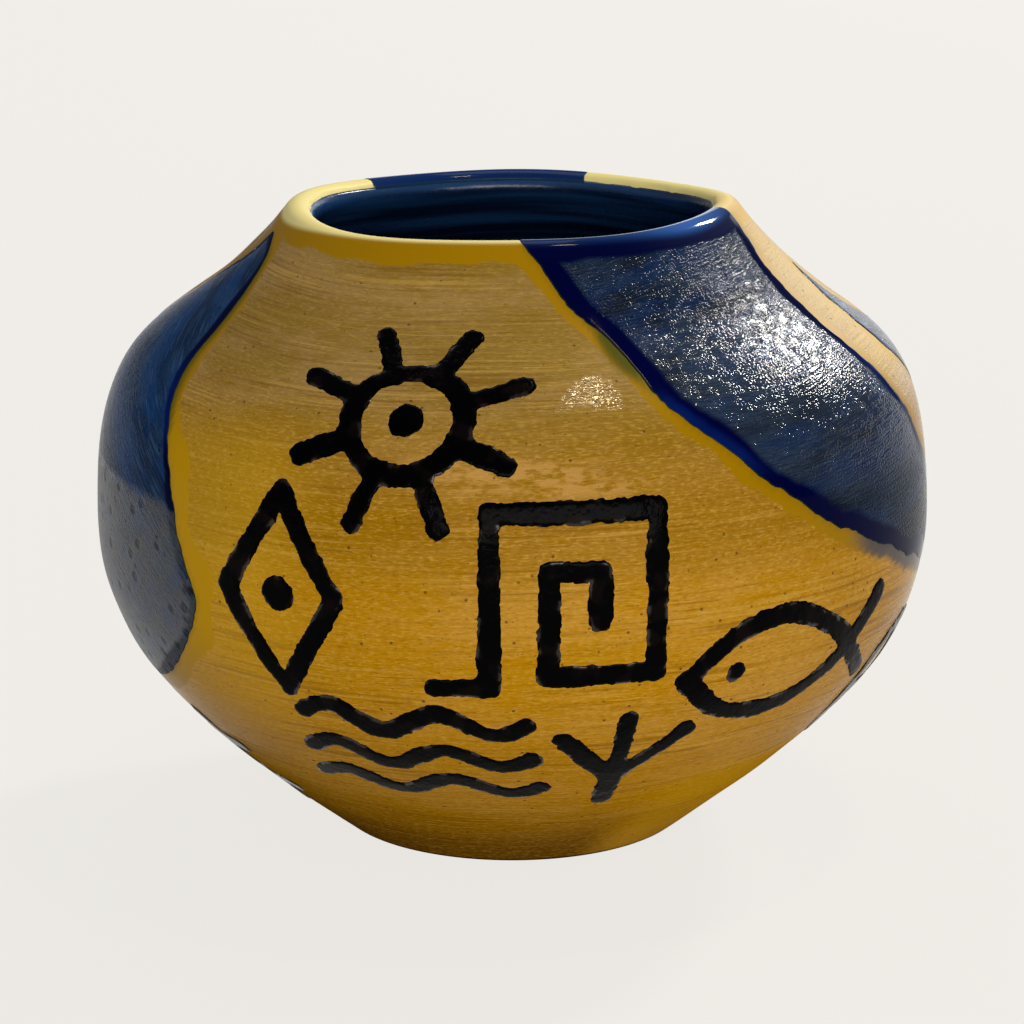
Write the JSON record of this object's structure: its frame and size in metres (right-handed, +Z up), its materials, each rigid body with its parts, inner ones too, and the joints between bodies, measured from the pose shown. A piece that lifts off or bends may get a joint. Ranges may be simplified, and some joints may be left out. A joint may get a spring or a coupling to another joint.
{
  "type": "painted vase",
  "caption": "Squat round earthenware vase with a rolled lip, a yellow glaze, tongues of blue glaze and raised black painted signs.",
  "frame": {"origin": "middle of the flat foot, on the surface that the vase stands on", "axes": "+Z up along the axis of the pot; -Y is the front, which the picture shows"},
  "size_m": [0.1404, 0.1416, 0.1073],
  "materials": {
    "clay": "bare fired earthenware, dry and matt",
    "lining": "glossy dark navy glaze",
    "yellow": "glossy golden yellow glaze over fine brushed lines, with small specks",
    "blue": "glossy cobalt glaze, brushed, with a smooth raised edge",
    "black": "glossy black underglaze paint with rough brushed edges"
  },
  "bodies": {
    "root": {"clay_body": "clay", "lining_glaze": "lining", "blue_glaze_front_right": "blue", "blue_glaze_left": "blue", "blue_glaze_right_shoulder": "blue", "blue_glaze_back": "blue", "yellow_glaze": "yellow", "sun_ring": "black", "sun_dot": "black", "diamond_frame": "black", "diamond_dot": "black", "fret_line": "black", "water_top": "black", "water_middle": "black", "water_low": "black", "fish_body": "black", "fish_eye": "black", "bird_track_toes": "black", "wheel_rim": "black", "hills_line": "black", "hills_dot": "black", "star_arms": "black", "comb_teeth": "black", "hourglass_frame": "black", "back_water_top": "black", "back_water_low": "black", "back_fish_body": "black", "back_track_toes": "black", "lattice_bars": "black"}
  },
  "joints": []
}
